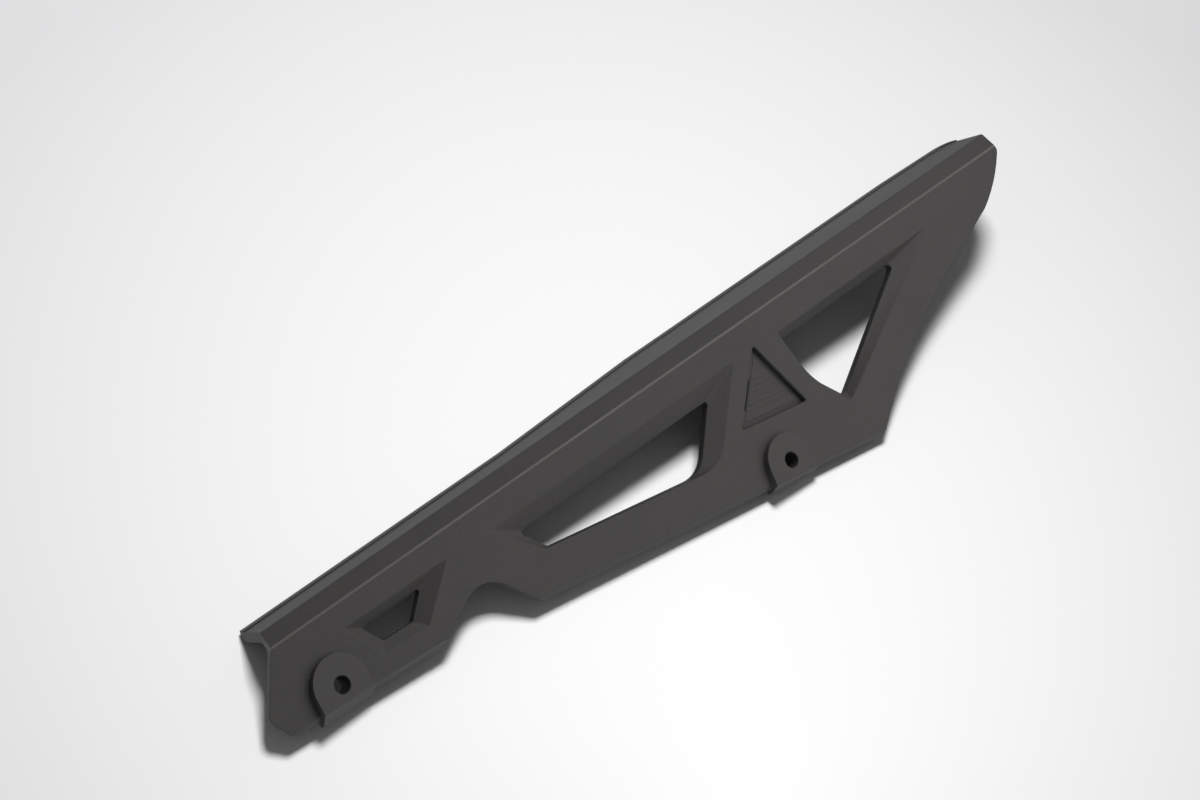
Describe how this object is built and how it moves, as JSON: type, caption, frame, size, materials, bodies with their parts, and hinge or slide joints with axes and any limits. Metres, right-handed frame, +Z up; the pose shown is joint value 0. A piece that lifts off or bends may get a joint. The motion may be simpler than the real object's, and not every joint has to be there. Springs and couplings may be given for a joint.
{
  "type": "motorcycle chain guard",
  "caption": "Moulded plastic guard for the top run of a motorcycle's drive chain: side plate with windows, folded flange and leaning bolt bosses.",
  "frame": {"origin": "centre of the bounding box on the table that the guard lies on, outer face up", "axes": "+X along the fold towards the guard's rear tip, +Y across it towards the folded flange, +Z up from the table"},
  "size_m": [0.3632, 0.0814, 0.0402],
  "materials": {
    "black_plastic": "fine moulded texture, matt"
  },
  "bodies": {
    "root": {"chain_guard": "black_plastic"}
  },
  "joints": []
}
